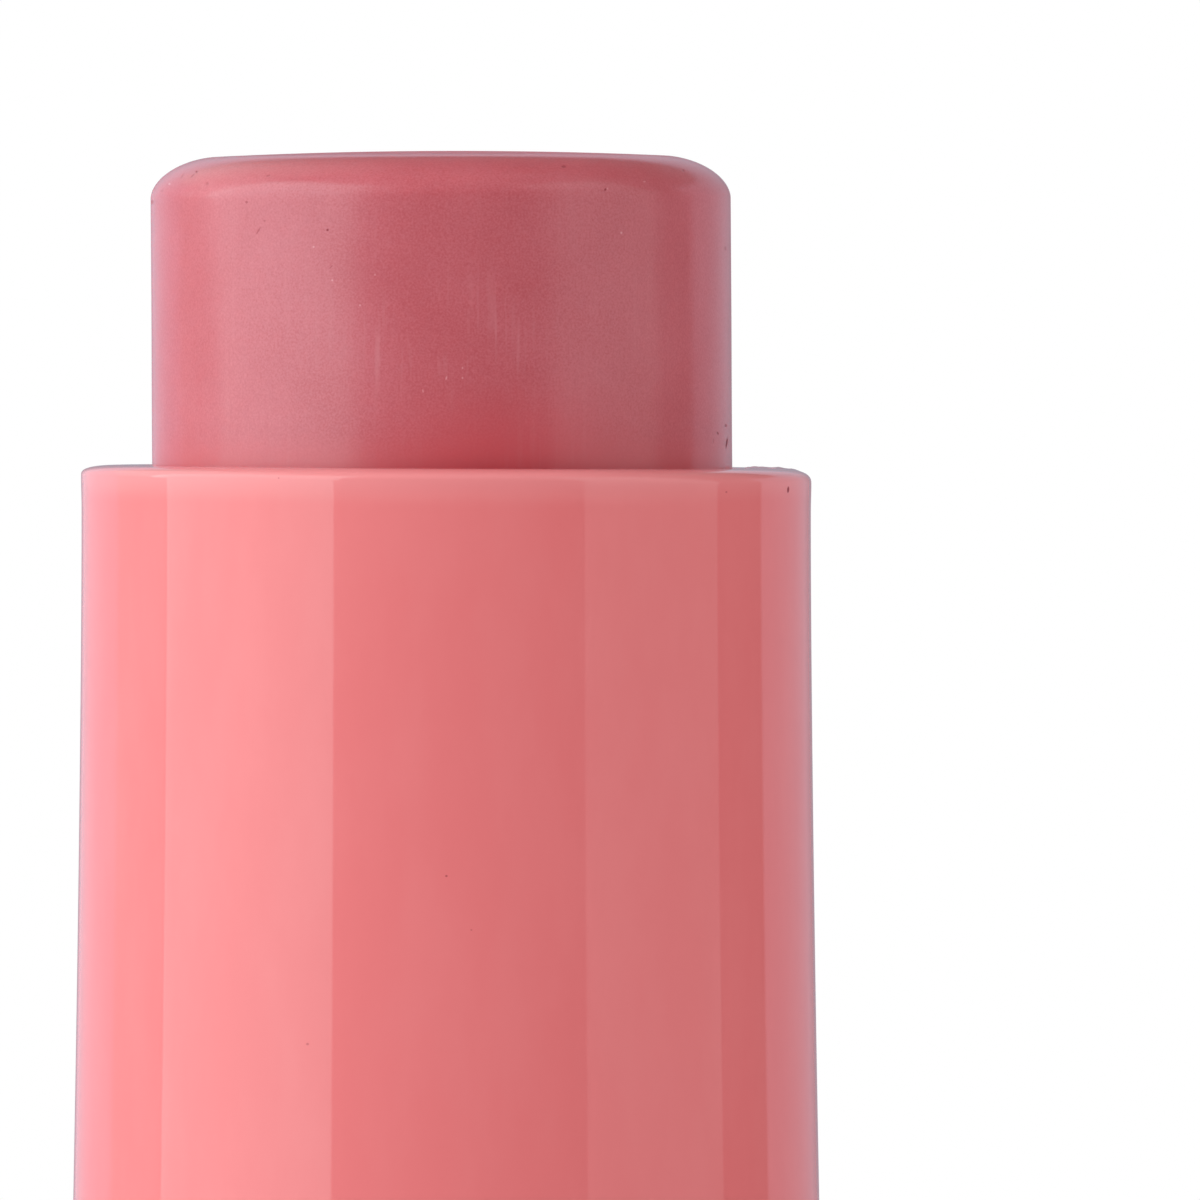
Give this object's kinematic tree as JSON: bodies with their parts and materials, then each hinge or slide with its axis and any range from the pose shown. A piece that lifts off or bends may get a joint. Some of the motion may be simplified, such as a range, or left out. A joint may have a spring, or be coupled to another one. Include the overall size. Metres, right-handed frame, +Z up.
{
  "type": "blush stick",
  "caption": "Round twist-up stick of solid blush: turning the fluted base winds the flat-topped stick out of its plastic barrel and back in.",
  "frame": {"origin": "centre of the flat ring under the base, which the stick stands on", "axes": "+Z up along the stick's axis, towards the blush; the outside is round, so +X and +Y point the same way round it as the drive fins in the base"},
  "size_m": [0.0234, 0.0234, 0.0587],
  "materials": {
    "coral_plastic": "glossy moulded plastic, coral pink all through",
    "blush": "satin pressed wax blush, rose mauve",
    "milky_plastic": "satin milky polypropylene",
    "steel": "turned steel",
    "rubber": "matt black nitrile rubber",
    "label_paper": "satin film label, plain"
  },
  "bodies": {
    "body": {"barrel": "coral_plastic", "inner_tube": "milky_plastic", "sleeve": "coral_plastic"},
    "dial": {"dial_shell": "coral_plastic", "dial_hub": "milky_plastic", "ballast_ring": "steel", "shade_label": "label_paper", "spindle": "milky_plastic", "o_ring": "rubber"},
    "carrier": {"carrier_cup": "milky_plastic", "blush_bullet": "blush"}
  },
  "joints": [
    {"name": "dial_twist", "type": "hinge", "parent": "body", "child": "dial", "pos_m": [0, 0, 0], "axis": [0, 0, 1], "range_deg": [-564, 1128]},
    {"name": "bullet_slide", "type": "slide", "parent": "body", "child": "carrier", "axis": [0, 0, 1], "range_m": [-0.0094, 0.0188]}
  ],
  "couplings": [
    {"joint": "bullet_slide", "follows": "dial_twist", "m_per_rad": 0.00095493}
  ]
}
